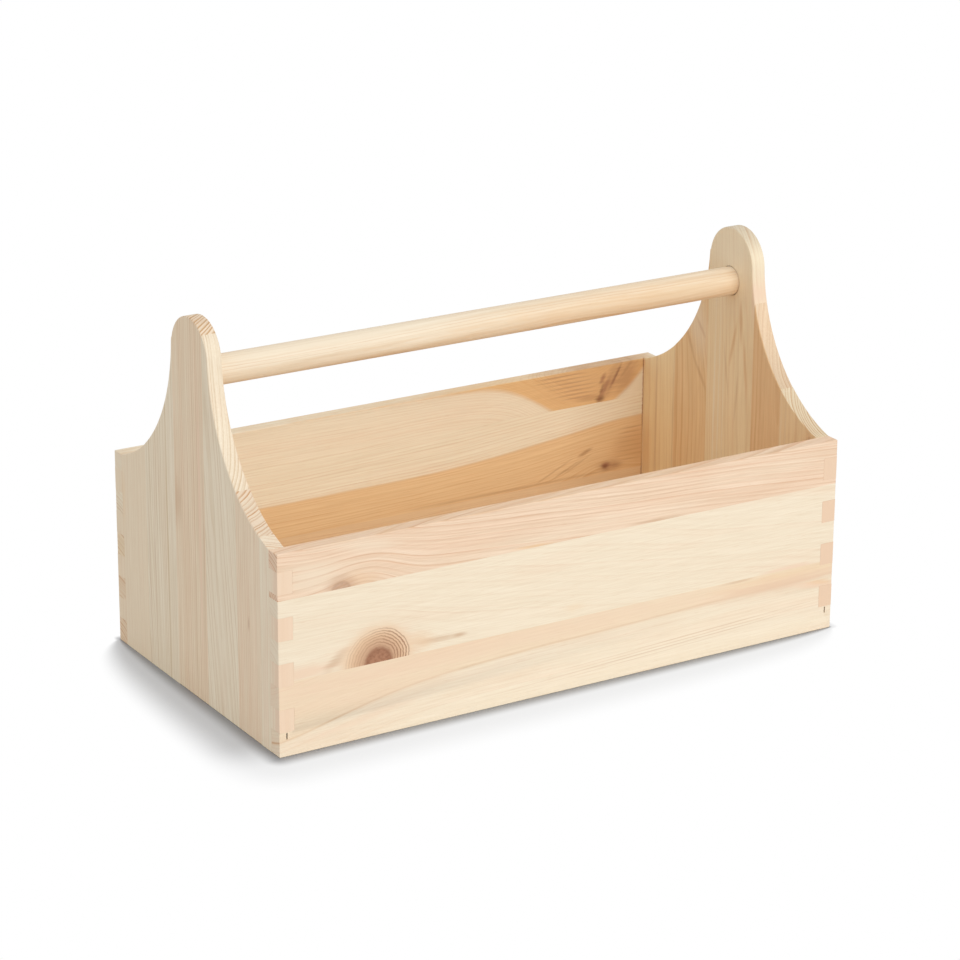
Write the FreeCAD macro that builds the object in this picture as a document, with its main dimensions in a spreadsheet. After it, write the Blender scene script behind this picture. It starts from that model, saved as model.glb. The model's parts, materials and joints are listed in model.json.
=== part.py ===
import FreeCAD, Part
import os

import Sketcher

# Wooden carrying tote: a finger-jointed box of edge-glued pine, two shaped ends and a round handle.
# X runs along the length, Y across the width and Z up. The origin is the centre of the base
# outline, on the surface that the tote stands on. Lengths are in millimetres.

PARTS_FOLDER = "parts"

# A sketch numbers the points of a curve in this order, and its own axes from -1 down.
CURVE_POINTS = ("whole curve", "start", "end", "centre")
START = CURVE_POINTS.index("start")
END = CURVE_POINTS.index("end")
CENTRE = CURVE_POINTS.index("centre")
SKETCH_AXES = {"horizontal": -1, "vertical": -2}
ORIGIN_POINT = (SKETCH_AXES["horizontal"], START)

# Driving dimensions: alias, value, meaning.
SIZES = (
    ("box_length", 400, "outside length of the box"),
    ("box_width", 213, "outside width of the box"),
    ("wall_height", 127, "height of the long walls"),
    ("board_thickness", 10, "thickness of the walls and ends"),
    ("end_height", 241, "height of the shaped ends"),
    ("crown_radius", 23.5, "rounded head of each end"),
    ("shoulder_radius", 102, "hollow curve from the head down to the wall"),
    ("finger_count", 4, "fingers on each corner of an end"),
    ("finger_cover", 0.4, "wood above the bottom groove in the lowest finger of a long wall"),
    ("top_finger", 11, "height of the top finger, which belongs to the long wall"),
    ("front_lower_width", 46.7, "width of the front wall's lower stave"),
    ("front_upper_width", 28.9, "width of the front wall's upper stave"),
    ("back_lower_width", 50, "width of the back wall's lower stave"),
    ("back_upper_width", 25.5, "width of the back wall's upper stave"),
    ("left_front_width", 21.5, "width of the left end's first stave, at the front"),
    ("left_second_width", 28.8, "width of the left end's second stave"),
    ("left_crown_front", 16.5, "centre line to the front glue line of the left crown stave"),
    ("left_crown_back", 22.8, "centre line to the back glue line of the left crown stave"),
    ("left_back_width", 43.8, "width of the left end's last stave, at the back"),
    ("right_front_width", 48.6, "width of the right end's first stave, at the front"),
    ("right_crown_front", 27.2, "centre line to the front glue line of the right crown stave"),
    ("right_crown_back", 23.2, "centre line to the back glue line of the right crown stave"),
    ("right_back_width", 46.7, "width of the right end's last stave, at the back"),
    ("bottom_thickness", 4, "thickness of the bottom panel"),
    ("bottom_height", 11, "height of the bottom panel's underside"),
    ("groove_depth", 4, "depth of the groove that holds the bottom"),
    ("groove_play", 0.2, "room above the bottom panel in its groove"),
    ("bottom_edge_play", 0.5, "room between the bottom panel's edge and the groove"),
    ("handle_diameter", 18.6, "diameter of the handle"),
    ("handle_drop", 35.2, "handle axis below the top of the ends"),
    ("socket_depth", 6, "depth of the blind hole in each end"),
    ("socket_play", 0.4, "radial room around the handle in its hole"),
    ("handle_end_play", 0.3, "room between the handle's end and the hole's floor"),
    ("handle_chamfer", 1, "chamfer on the handle's ends"),
    ("staple_wire", 0.9, "thickness of the staple wire"),
    ("staple_crown", 4.2, "width of the staple across its two legs"),
    ("staple_length", 18, "length of a staple along its legs"),
    ("staple_sink", 0.8, "depth of the staple crown below the wall's face"),
    ("staple_web", 1, "wood between the staple's middle and the bottom groove"),
)

WALL_STAVE_NAMES = ("lower", "middle", "upper")

# Derived lengths, as expressions on the sheet.
HALF_LENGTH = "sizes.box_length / 2"
HALF_WIDTH = "sizes.box_width / 2"
INSIDE_LENGTH = "(sizes.box_length / 2 - sizes.board_thickness)"
INSIDE_WIDTH = "(sizes.box_width / 2 - sizes.board_thickness)"
GROOVE_HEIGHT = "(sizes.bottom_thickness + sizes.groove_play)"
GROOVE_REACH = "(sizes.groove_depth - sizes.bottom_edge_play)"
HANDLE_HEIGHT = "(sizes.end_height - sizes.handle_drop)"
SOCKET_RADIUS = "(sizes.handle_diameter / 2 + sizes.socket_play)"
HANDLE_REACH = "(sizes.socket_depth - sizes.handle_end_play)"
FINGER_START = f"(sizes.bottom_height + {GROOVE_HEIGHT} + sizes.finger_cover)"
FINGER_WIDTH = f"((sizes.wall_height - {FINGER_START} - sizes.top_finger) / (2 * sizes.finger_count - 1))"
STAPLE_INSET = "(sizes.board_thickness - sizes.groove_depth - sizes.staple_web)"
STAPLE_HEIGHT = "(sizes.bottom_height + sizes.bottom_thickness / 2)"

# Glue lines: heights on the long walls, and distances from the centre line on the ends.
FRONT_SEAMS = ("sizes.front_lower_width", "sizes.wall_height - sizes.front_upper_width")
BACK_SEAMS = ("sizes.back_lower_width", "sizes.wall_height - sizes.back_upper_width")
LEFT_SEAMS = (
    f"sizes.left_front_width - {HALF_WIDTH}",
    f"sizes.left_front_width + sizes.left_second_width - {HALF_WIDTH}",
    "-sizes.left_crown_front",
    "sizes.left_crown_back",
    f"{HALF_WIDTH} - sizes.left_back_width",
)
RIGHT_SEAMS = (
    f"sizes.right_front_width - {HALF_WIDTH}",
    "-sizes.right_crown_front",
    "sizes.right_crown_back",
    f"{HALF_WIDTH} - sizes.right_back_width",
)

doc = FreeCAD.newDocument("tool_tote")


def make_sheet():
    """Write the driving dimensions into a spreadsheet, one aliased cell each."""
    sheet = doc.addObject("Spreadsheet::Sheet", "sizes")
    for row, (alias, value, meaning) in enumerate(SIZES, start=1):
        sheet.set(f"A{row}", meaning)
        sheet.set(f"B{row}", str(value))
        sheet.setAlias(f"B{row}", alias)
    doc.recompute()
    return sheet


sizes = make_sheet()


def size(alias):
    """Current value of one driving dimension."""
    return float(getattr(sizes, alias))


def bind(thing, **expressions):
    """Tie properties of an object to expressions; a double underscore stands for a dot."""
    for name, expression in expressions.items():
        thing.setExpression(name.replace("__", "."), expression)


def place(thing, at_x="0", at_y="0", at_z="0"):
    """Tie the position of an object to expressions."""
    bind(thing, Placement__Base__x=at_x, Placement__Base__y=at_y, Placement__Base__z=at_z)


def new_body(name, label):
    """Start a PartDesign body."""
    body = doc.addObject("PartDesign::Body", name)
    body.Label = label
    return body


def sketch_on(body, plane_role, name):
    """Add a sketch that lies on one of the body's own origin planes."""
    sketch = body.newObject("Sketcher::SketchObject", name)
    plane = next(item for item in body.Origin.OriginFeatures if item.Role == plane_role)
    sketch.AttachmentSupport = [(plane, "")]
    sketch.MapMode = "FlatFace"
    return sketch


def fix_distance(sketch, kind, first, second, expression, name):
    """Hold the distance between two points along one axis, bound to an expression."""
    index = sketch.addConstraint(Sketcher.Constraint(kind, *first, *second, 1.0))
    sketch.renameConstraint(index, name)
    sketch.setExpression(f"Constraints.{name}", expression)


def draw_rectangle(sketch, name, left, bottom, wide, high):
    """Draw a rectangle from its left and bottom lines and its two lengths."""
    lines = [Part.LineSegment(FreeCAD.Vector(*start, 0), FreeCAD.Vector(*end, 0)) for start, end in (
        ((0, 0), (1, 0)), ((1, 0), (1, 1)), ((1, 1), (0, 1)), ((0, 1), (0, 0)))]
    base, right, top, side = sketch.addGeometry(lines, False)
    for this, following in ((base, right), (right, top), (top, side), (side, base)):
        sketch.addConstraint(Sketcher.Constraint("Coincident", this, END, following, START))
    for line in (base, top):
        sketch.addConstraint(Sketcher.Constraint("Horizontal", line))
    for line in (right, side):
        sketch.addConstraint(Sketcher.Constraint("Vertical", line))
    fix_distance(sketch, "DistanceX", ORIGIN_POINT, (base, START), left, name + "_left")
    fix_distance(sketch, "DistanceY", ORIGIN_POINT, (base, START), bottom, name + "_bottom")
    fix_distance(sketch, "DistanceX", (base, START), (base, END), wide, name + "_wide")
    fix_distance(sketch, "DistanceY", (right, START), (right, END), high, name + "_high")


def draw_finger_column(sketch, name, left):
    """Draw one rectangle for each finger of an end, stacked up one corner of the box."""
    for number in range(int(size("finger_count"))):
        bottom = f"{FINGER_START} + {2 * number} * {FINGER_WIDTH}"
        draw_rectangle(sketch, f"{name}_{number + 1}", left, bottom,
                       "sizes.board_thickness", FINGER_WIDTH)


def pad(body, sketch, name, length, reverse=False):
    """Raise a sketch into a solid."""
    feature = body.newObject("PartDesign::Pad", name)
    feature.Profile = sketch
    feature.Reversed = reverse
    bind(feature, Length=length)
    return feature


def pocket(body, sketch, name, depth, reverse):
    """Cut a sketch into the body."""
    feature = body.newObject("PartDesign::Pocket", name)
    feature.Profile = sketch
    feature.Reversed = reverse
    bind(feature, Length=depth)
    return feature


def wall_panel(name, label):
    """Long wall: inner face on Y = 0, outer face towards -Y, sockets for the ends' fingers."""
    body = new_body(name, label)
    outline = sketch_on(body, "XZ_Plane", name + "_outline")
    draw_rectangle(outline, "blank", "-" + HALF_LENGTH, "0", "sizes.box_length", "sizes.wall_height")
    pad(body, outline, name + "_blank", "sizes.board_thickness")
    sockets = sketch_on(body, "XZ_Plane", name + "_socket_lines")
    draw_finger_column(sockets, "left", "-" + HALF_LENGTH)
    draw_finger_column(sockets, "right", INSIDE_LENGTH)
    pocket(body, sockets, name + "_finger_sockets", "sizes.board_thickness", reverse=True)
    groove = sketch_on(body, "XZ_Plane", name + "_groove_lines")
    draw_rectangle(groove, "groove", f"-({INSIDE_LENGTH} + sizes.groove_depth)", "sizes.bottom_height",
                   f"2 * ({INSIDE_LENGTH} + sizes.groove_depth)", GROOVE_HEIGHT)
    pocket(body, groove, name + "_groove", "sizes.groove_depth", reverse=True)
    return body


def shoulder_centre():
    """Centre of the right shoulder arc: tangent to the crown and ending at the wall's corner."""
    crown = FreeCAD.Vector(0, size("end_height") - size("crown_radius"), 0)
    corner = FreeCAD.Vector(size("box_width") / 2 - size("board_thickness"), size("wall_height"), 0)
    to_crown = size("crown_radius") + size("shoulder_radius")
    to_corner = size("shoulder_radius")
    span = corner - crown
    along = (to_crown ** 2 - to_corner ** 2 + span.Length ** 2) / (2 * span.Length)
    aside = (to_crown ** 2 - along ** 2) ** 0.5
    direction = span.normalize()
    return crown + direction * along + FreeCAD.Vector(-direction.y, direction.x, 0) * aside


def draw_end_outline(sketch):
    """Draw the shaped end without its fingers: straight sides, hollow shoulders, round crown."""
    half = size("box_width") / 2 - size("board_thickness")
    wall_top = size("wall_height")
    crown = FreeCAD.Vector(0, size("end_height") - size("crown_radius"), 0)
    right_centre = shoulder_centre()
    left_centre = FreeCAD.Vector(-right_centre.x, right_centre.y, 0)
    right_meet = crown + (right_centre - crown).normalize() * size("crown_radius")
    left_meet = FreeCAD.Vector(-right_meet.x, right_meet.y, 0)
    right_foot = FreeCAD.Vector(half, wall_top, 0)
    left_foot = FreeCAD.Vector(-half, wall_top, 0)

    def arc(centre, first, last):
        """Counter-clockwise arc from first to last."""
        circle = Part.Circle(centre, FreeCAD.Vector(0, 0, 1), (first - centre).Length)
        return Part.ArcOfCircle(circle, circle.parameter(first), circle.parameter(last))

    base, right_side, right_arc, crown_arc, left_arc, left_side = sketch.addGeometry([
        Part.LineSegment(FreeCAD.Vector(-half, 0, 0), FreeCAD.Vector(half, 0, 0)),
        Part.LineSegment(FreeCAD.Vector(half, 0, 0), right_foot),
        arc(right_centre, right_meet, right_foot),
        arc(crown, right_meet, left_meet),
        arc(left_centre, left_foot, left_meet),
        Part.LineSegment(left_foot, FreeCAD.Vector(-half, 0, 0)),
    ], False)
    for first, last in (
            ((base, END), (right_side, START)), ((right_side, END), (right_arc, END)),
            ((left_arc, START), (left_side, START)), ((left_side, END), (base, START))):
        sketch.addConstraint(Sketcher.Constraint("Coincident", *first, *last))
    sketch.addConstraint(Sketcher.Constraint("Tangent", right_arc, START, crown_arc, START))
    sketch.addConstraint(Sketcher.Constraint("Tangent", crown_arc, END, left_arc, END))
    sketch.addConstraint(Sketcher.Constraint("Vertical", right_side))
    sketch.addConstraint(Sketcher.Constraint("Vertical", left_side))
    sketch.addConstraint(Sketcher.Constraint("PointOnObject", base, START, SKETCH_AXES["horizontal"]))
    sketch.addConstraint(Sketcher.Constraint("PointOnObject", crown_arc, CENTRE, SKETCH_AXES["vertical"]))
    sketch.addConstraint(Sketcher.Constraint("Symmetric", base, START, base, END, SKETCH_AXES["vertical"]))
    sketch.addConstraint(Sketcher.Constraint("Equal", right_side, left_side))
    sketch.addConstraint(Sketcher.Constraint("Equal", right_arc, left_arc))
    fix_distance(sketch, "DistanceX", (base, START), (base, END), f"2 * {INSIDE_WIDTH}", "base_width")
    fix_distance(sketch, "DistanceY", (right_side, START), (right_side, END),
                 "sizes.wall_height", "side_height")
    fix_distance(sketch, "DistanceY", ORIGIN_POINT, (crown_arc, CENTRE),
                 "sizes.end_height - sizes.crown_radius", "crown_height")
    for name, curve, expression in (("crown", crown_arc, "sizes.crown_radius"),
                                    ("shoulder", right_arc, "sizes.shoulder_radius")):
        radius = size(name + "_radius")
        index = sketch.addConstraint(Sketcher.Constraint("Radius", curve, radius))
        sketch.renameConstraint(index, name + "_radius")
        sketch.setExpression(f"Constraints.{name}_radius", expression)


def end_panel(name, label):
    """Shaped end: inner face on X = 0, outer face towards -X, fingers at its front and back."""
    body = new_body(name, label)
    outline = sketch_on(body, "YZ_Plane", name + "_outline")
    draw_end_outline(outline)
    pad(body, outline, name + "_blank", "sizes.board_thickness", reverse=True)
    fingers = sketch_on(body, "YZ_Plane", name + "_finger_lines")
    draw_finger_column(fingers, "front", "-" + HALF_WIDTH)
    draw_finger_column(fingers, "back", INSIDE_WIDTH)
    pad(body, fingers, name + "_fingers", "sizes.board_thickness", reverse=True)
    groove = sketch_on(body, "YZ_Plane", name + "_groove_lines")
    draw_rectangle(groove, "groove", "-" + INSIDE_WIDTH, "sizes.bottom_height",
                   "2 * " + INSIDE_WIDTH, GROOVE_HEIGHT)
    pocket(body, groove, name + "_groove", "sizes.groove_depth", reverse=False)
    socket = sketch_on(body, "YZ_Plane", name + "_socket_circle")
    circle = socket.addGeometry(
        Part.Circle(FreeCAD.Vector(0, 1, 0), FreeCAD.Vector(0, 0, 1), size("handle_diameter") / 2), False)
    socket.addConstraint(Sketcher.Constraint("PointOnObject", circle, CENTRE, SKETCH_AXES["vertical"]))
    fix_distance(socket, "DistanceY", ORIGIN_POINT, (circle, CENTRE), HANDLE_HEIGHT, "socket_height")
    index = socket.addConstraint(Sketcher.Constraint("Radius", circle, size("handle_diameter") / 2))
    socket.renameConstraint(index, "socket_radius")
    socket.setExpression("Constraints.socket_radius", SOCKET_RADIUS)
    pocket(body, socket, name + "_handle_socket", "sizes.socket_depth", reverse=False)
    return body


def turn_about_z(thing):
    """Turn an object half a turn about the vertical, so that it faces the other way."""
    thing.Placement = FreeCAD.Placement(FreeCAD.Vector(), FreeCAD.Rotation(FreeCAD.Vector(0, 0, 1), 180))


def bound_box(name, extent, corner):
    """Box whose three lengths and lowest corner are bound to expressions."""
    box = doc.addObject("Part::Box", name)
    bind(box, Length=extent[0], Width=extent[1], Height=extent[2])
    place(box, *corner)
    return box


def fuse(name, shapes):
    """Join solids into one."""
    joined = doc.addObject("Part::MultiFuse", name)
    joined.Shapes = shapes
    return joined


def subtract(name, base, tool):
    """Cut one shape out of another."""
    result = doc.addObject("Part::Cut", name)
    result.Base = base
    result.Tool = tool
    return result


def staple_at(name, side_x, side_y):
    """Staple that pins the lowest finger of one corner, and the cavity that it sits in."""
    wire = "sizes.staple_wire"
    left = f"{side_x} * ({HALF_LENGTH} - {STAPLE_INSET}) - {wire} / 2"
    low = f"{STAPLE_HEIGHT} - sizes.staple_crown / 2"
    high = f"{STAPLE_HEIGHT} + sizes.staple_crown / 2 - {wire}"
    face = f"({HALF_WIDTH} - sizes.staple_sink)"
    if side_y < 0:
        crown_front = f"-{face}"
        leg_front = crown_front
        recess_front = f"-({HALF_WIDTH} + sizes.staple_sink)"
    else:
        crown_front = f"{face} - {wire}"
        leg_front = f"{face} - sizes.staple_length"
        recess_front = face
    crown = bound_box(name + "_crown", (wire, wire, "sizes.staple_crown"), (left, crown_front, low))
    lower_leg = bound_box(name + "_lower_leg", (wire, "sizes.staple_length", wire), (left, leg_front, low))
    upper_leg = bound_box(name + "_upper_leg", (wire, "sizes.staple_length", wire), (left, leg_front, high))
    staple = fuse(name, [crown, lower_leg, upper_leg])
    recess = bound_box(name + "_recess", (wire, "2 * sizes.staple_sink", "sizes.staple_crown"),
                       (left, recess_front, low))
    return staple, fuse(name + "_cavity", [staple, recess])


def split_into_staves(panel, slabs):
    """Cut a glued-up panel into its staves; each slab is a label and the box that the stave fills."""
    staves = []
    for label, extent, corner in slabs:
        slab = bound_box(label + "_slab", extent, corner)
        stave = doc.addObject("Part::Common", label)
        stave.Base = panel
        stave.Tool = slab
        stave.Label = label
        staves.append(stave)
    return staves


def spans(edges):
    """Neighbouring pairs in a list of edge expressions."""
    return list(zip(edges[:-1], edges[1:]))


def wall_staves(side, panel, seams, front):
    """Horizontal staves of a long wall, from the bottom up."""
    edges = ["0", *seams, "sizes.wall_height"]
    slabs = []
    for word, (low, high) in zip(WALL_STAVE_NAMES, spans(edges)):
        extent = ("sizes.box_length", "sizes.board_thickness", f"{high} - ({low})")
        slabs.append((f"{side}_stave_{word}", extent, ("-" + HALF_LENGTH, front, low)))
    return split_into_staves(panel, slabs)


def end_staves(side, panel, seams, left):
    """Upright staves of a shaped end, from the front to the back."""
    edges = ["-" + HALF_WIDTH, *seams, HALF_WIDTH]
    slabs = []
    for number, (front, back) in enumerate(spans(edges), start=1):
        extent = ("sizes.board_thickness", f"{back} - ({front})", "sizes.end_height")
        slabs.append((f"{side}_end_stave_{number}", extent, (left, front, "0")))
    return split_into_staves(panel, slabs)


def make_bottom():
    """Thin panel that lies in the groove all round."""
    length = f"2 * ({INSIDE_LENGTH} + {GROOVE_REACH})"
    width = f"2 * ({INSIDE_WIDTH} + {GROOVE_REACH})"
    corner = (f"-({INSIDE_LENGTH} + {GROOVE_REACH})", f"-({INSIDE_WIDTH} + {GROOVE_REACH})",
              "sizes.bottom_height")
    bottom = bound_box("bottom_panel", (length, width, "sizes.bottom_thickness"), corner)
    bottom.Label = "bottom_panel"
    return bottom


def make_handle():
    """Round handle, turned about X, with chamfered ends that stand in the two blind holes."""
    body = new_body("handle_body", "handle_rod")
    profile = sketch_on(body, "XZ_Plane", "handle_profile")
    reach = size("box_length") / 2 - size("board_thickness") + size("socket_depth") - size("handle_end_play")
    radius = size("handle_diameter") / 2
    chamfer = size("handle_chamfer")
    corners = [(-reach, 0), (-reach, radius - chamfer), (chamfer - reach, radius),
               (reach - chamfer, radius), (reach, radius - chamfer), (reach, 0)]
    points = [FreeCAD.Vector(along, out, 0) for along, out in corners]
    lines = [Part.LineSegment(points[index], points[(index + 1) % len(points)])
             for index in range(len(points))]
    left, left_slope, top, right_slope, right, axis = profile.addGeometry(lines, False)
    ring = (left, left_slope, top, right_slope, right, axis)
    for this, following in zip(ring, ring[1:] + ring[:1]):
        profile.addConstraint(Sketcher.Constraint("Coincident", this, END, following, START))
    for line in (left, right):
        profile.addConstraint(Sketcher.Constraint("Vertical", line))
    profile.addConstraint(Sketcher.Constraint("Horizontal", top))
    profile.addConstraint(Sketcher.Constraint("Symmetric", axis, START, axis, END, *ORIGIN_POINT))
    profile.addConstraint(Sketcher.Constraint("PointOnObject", axis, START, SKETCH_AXES["horizontal"]))
    fix_distance(profile, "DistanceX", (axis, END), (axis, START),
                 f"2 * ({INSIDE_LENGTH} + {HANDLE_REACH})", "handle_length")
    fix_distance(profile, "DistanceY", ORIGIN_POINT, (top, START),
                 "sizes.handle_diameter / 2", "handle_radius")
    for name, slope, low, high in (("left", left_slope, START, END), ("right", right_slope, END, START)):
        fix_distance(profile, "DistanceX", (slope, START), (slope, END),
                     "sizes.handle_chamfer", name + "_chamfer_run")
        fix_distance(profile, "DistanceY", (slope, low), (slope, high),
                     "sizes.handle_chamfer", name + "_chamfer_rise")
    turned = body.newObject("PartDesign::Revolution", "handle_turned")
    turned.Profile = profile
    turned.ReferenceAxis = (profile, ["H_Axis"])
    turned.Angle = 360
    place(body, at_z=HANDLE_HEIGHT)
    return body


def check_document():
    """Stop if any object failed to compute."""
    for thing in doc.Objects:
        if "Invalid" in thing.State or "Error" in thing.State:
            raise RuntimeError(f"{thing.Label} failed: {thing.State}")


def check_features(body):
    """Stop if a pad added no volume, or a pocket took none away."""
    features = [item for item in body.Group if item.isDerivedFrom("PartDesign::Feature")]
    for before, after in zip(features, features[1:]):
        change = after.Shape.Volume - before.Shape.Volume
        if after.isDerivedFrom("PartDesign::Pocket"):
            change = -change
        if change <= 0:
            raise RuntimeError(f"{after.Label} changed nothing")


def write_parts(pieces):
    """Write each piece to its own STEP file, after testing its shape."""
    os.makedirs(PARTS_FOLDER, exist_ok=True)
    for piece in pieces:
        shape = piece.Shape
        if shape.isNull() or not shape.isValid() or not shape.Solids:
            raise RuntimeError(f"{piece.Label} has no valid solid")
    for piece in pieces:
        piece.Shape.exportStep(os.path.join(PARTS_FOLDER, piece.Label + ".step"))
        print(f"{piece.Label}: {len(piece.Shape.Solids)} solid, {piece.Shape.Volume:.1f} mm3")


front_panel = wall_panel("front_panel", "front_panel_glued")
place(front_panel, at_y="-" + INSIDE_WIDTH)
back_panel = wall_panel("back_panel", "back_panel_glued")
turn_about_z(back_panel)
place(back_panel, at_y=INSIDE_WIDTH)
left_panel = end_panel("left_panel", "left_end_glued")
place(left_panel, at_x="-" + INSIDE_LENGTH)
right_panel = end_panel("right_panel", "right_end_glued")
turn_about_z(right_panel)
place(right_panel, at_x=INSIDE_LENGTH)

staples = []
cavities = []
for corner, side_x, side_y in (("front_left", -1, -1), ("front_right", 1, -1),
                               ("back_left", -1, 1), ("back_right", 1, 1)):
    staple, cavity = staple_at(corner + "_staple", side_x, side_y)
    staples.append(staple)
    cavities.append(cavity)
all_cavities = fuse("staple_cavities", cavities)
corner_staples = doc.addObject("Part::Compound", "corner_staples")
corner_staples.Label = "corner_staples"
corner_staples.Links = staples

front_wall = subtract("front_wall", front_panel, all_cavities)
back_wall = subtract("back_wall", back_panel, all_cavities)
left_end = subtract("left_end", left_panel, all_cavities)
right_end = subtract("right_end", right_panel, all_cavities)

pieces = wall_staves("front", front_wall, FRONT_SEAMS, "-" + HALF_WIDTH)
pieces += wall_staves("back", back_wall, BACK_SEAMS, INSIDE_WIDTH)
pieces += end_staves("left", left_end, LEFT_SEAMS, "-" + HALF_LENGTH)
pieces += end_staves("right", right_end, RIGHT_SEAMS, INSIDE_LENGTH)
pieces += [make_bottom(), make_handle(), corner_staples]

doc.recompute()
check_document()
for panel in (front_panel, back_panel, left_panel, right_panel):
    check_features(panel)
write_parts(pieces)
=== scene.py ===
"""Wooden carrying tote: finger-jointed box of edge-glued pine staves, shaped ends and a round handle.

Lengths are in metres, as in the frame. Facts about the timber are in millimetres, because boards are
measured in them.
"""
import json
import math
from dataclasses import dataclass

import bmesh
import bpy
from bpy.props import FloatProperty, FloatVectorProperty, IntProperty, PointerProperty
from mathutils import Color, Matrix, Vector
from mathutils.bvhtree import BVHTree


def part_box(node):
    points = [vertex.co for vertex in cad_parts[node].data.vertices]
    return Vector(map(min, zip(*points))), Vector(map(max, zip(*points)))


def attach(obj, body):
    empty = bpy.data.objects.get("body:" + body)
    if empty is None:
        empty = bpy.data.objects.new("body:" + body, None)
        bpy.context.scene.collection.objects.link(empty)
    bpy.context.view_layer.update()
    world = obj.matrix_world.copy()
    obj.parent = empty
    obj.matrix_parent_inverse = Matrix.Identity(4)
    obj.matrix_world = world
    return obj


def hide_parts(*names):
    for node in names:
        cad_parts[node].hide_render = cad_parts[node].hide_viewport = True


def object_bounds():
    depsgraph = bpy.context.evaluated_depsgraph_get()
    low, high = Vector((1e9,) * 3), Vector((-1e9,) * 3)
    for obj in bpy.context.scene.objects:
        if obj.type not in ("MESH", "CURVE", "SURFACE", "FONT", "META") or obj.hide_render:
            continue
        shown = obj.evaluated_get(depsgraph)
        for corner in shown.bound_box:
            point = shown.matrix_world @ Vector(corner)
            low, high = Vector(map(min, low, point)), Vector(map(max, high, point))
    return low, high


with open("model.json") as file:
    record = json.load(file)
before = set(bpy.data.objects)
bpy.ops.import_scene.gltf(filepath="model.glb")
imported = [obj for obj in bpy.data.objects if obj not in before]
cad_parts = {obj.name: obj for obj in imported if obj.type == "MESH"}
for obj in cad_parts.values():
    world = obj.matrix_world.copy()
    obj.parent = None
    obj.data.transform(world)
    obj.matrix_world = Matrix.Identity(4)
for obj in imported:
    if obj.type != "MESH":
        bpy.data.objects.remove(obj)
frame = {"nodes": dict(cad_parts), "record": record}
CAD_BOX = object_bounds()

bl_info = {
    "name": "Pine Tool Tote",
    "version": (1, 0, 0),
    "blender": (4, 5, 0),
    "location": "View3D > Sidebar > Tote",
    "description": "Dresses the tote's staves, handle, bottom and staples, and sets the stage",
    "category": "Object",
}

MM = 0.001
BODY_OF = {node: body for body, nodes in frame["record"]["behaviour"]["bodies"].items() for node in nodes}
PANELS = ("front_stave", "back_stave", "left_end", "right_end")
ROD_LOW, ROD_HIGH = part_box("handle_rod")
STAPLES_LOW, STAPLES_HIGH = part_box("corner_staples")
WALL_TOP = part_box("front_stave_upper")[1].z
WALL_INSIDE = -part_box("front_stave_lower")[1].y
END_INSIDE = -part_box("left_end_stave_4")[1].x


def srgb(red, green, blue):
    """Linear colour of a screen colour given in steps from 0 to 255."""
    colour = Color((red / 255, green / 255, blue / 255))
    return tuple(colour.from_srgb_to_scene_linear())


# ---------------- settings


class ToteEdges(bpy.types.PropertyGroup):
    """How the sharp edges of the boards are eased."""
    wall_arris: FloatProperty(
        name="Wall arris", description="Width of the sanded edge on the box",
        default=0.6 * MM, min=0, unit="LENGTH")
    crown_arris: FloatProperty(
        name="End arris", description="Width of the sanded edge round the shaped ends",
        default=0.9 * MM, min=0, unit="LENGTH")
    joint_line: FloatProperty(
        name="Joint line", description="Width of the fine line between the fingers of a joint",
        default=0.16 * MM, min=0, unit="LENGTH")
    socket_edge: FloatProperty(
        name="Socket edge", description="Width of the eased edge round the handle's hole",
        default=0.12 * MM, min=0, unit="LENGTH")
    steps: IntProperty(
        name="Steps", description="Facets across an eased edge", default=3, min=1, max=6)


class TotePine(bpy.types.PropertyGroup):
    """Colours and surface of the unfinished pine."""
    sapwood: FloatVectorProperty(
        name="Sapwood", description="Pale outer wood", subtype="COLOR", default=srgb(247, 232, 207))
    blush: FloatVectorProperty(
        name="Blush", description="Pinkish outer wood", subtype="COLOR", default=srgb(244, 214, 186))
    heartwood: FloatVectorProperty(
        name="Heartwood", description="Orange inner wood", subtype="COLOR", default=srgb(238, 194, 138))
    latewood: FloatVectorProperty(
        name="Latewood", description="Tint of a ring's dark part", subtype="COLOR",
        default=(0.74, 0.52, 0.34))
    end_grain: FloatVectorProperty(
        name="End grain", description="Tint of wood cut across the grain", subtype="COLOR",
        default=(0.97, 0.96, 0.96))
    resin: FloatVectorProperty(
        name="Resin", description="Brown resin streak", subtype="COLOR", default=srgb(196, 150, 108))
    knot: FloatVectorProperty(
        name="Knot", description="Wood between a knot's rings", subtype="COLOR", default=srgb(236, 200, 162))
    knot_core: FloatVectorProperty(
        name="Knot core", description="Red-brown middle of a knot", subtype="COLOR",
        default=srgb(178, 128, 98))
    bark: FloatVectorProperty(
        name="Bark", description="Darkest rings and checks of a knot", subtype="COLOR",
        default=srgb(112, 66, 42))
    roughness: FloatProperty(
        name="Roughness", description="Sanded, unfinished surface", subtype="FACTOR", default=0.62,
        min=0, max=1)
    relief: FloatProperty(
        name="Relief", description="Height of the grain above the surface", unit="LENGTH",
        default=0.05 * MM, min=0)


class ToteHandle(bpy.types.PropertyGroup):
    """Sizes of the round handle."""
    length: FloatProperty(
        name="Length", description="From end to end, inside both sockets", unit="LENGTH",
        default=ROD_HIGH.x - ROD_LOW.x, min=0)
    diameter: FloatProperty(
        name="Diameter", description="Thickness of the handle", unit="LENGTH",
        default=ROD_HIGH.z - ROD_LOW.z, min=0)
    height: FloatProperty(
        name="Height", description="Handle axis above the floor", unit="LENGTH",
        default=(ROD_LOW.z + ROD_HIGH.z) / 2, min=0)
    chamfer: FloatProperty(
        name="Chamfer", description="Chamfer on both ends", unit="LENGTH", default=1 * MM, min=0)
    sides: IntProperty(
        name="Sides", description="Facets round the handle", default=96, min=12)


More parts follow.
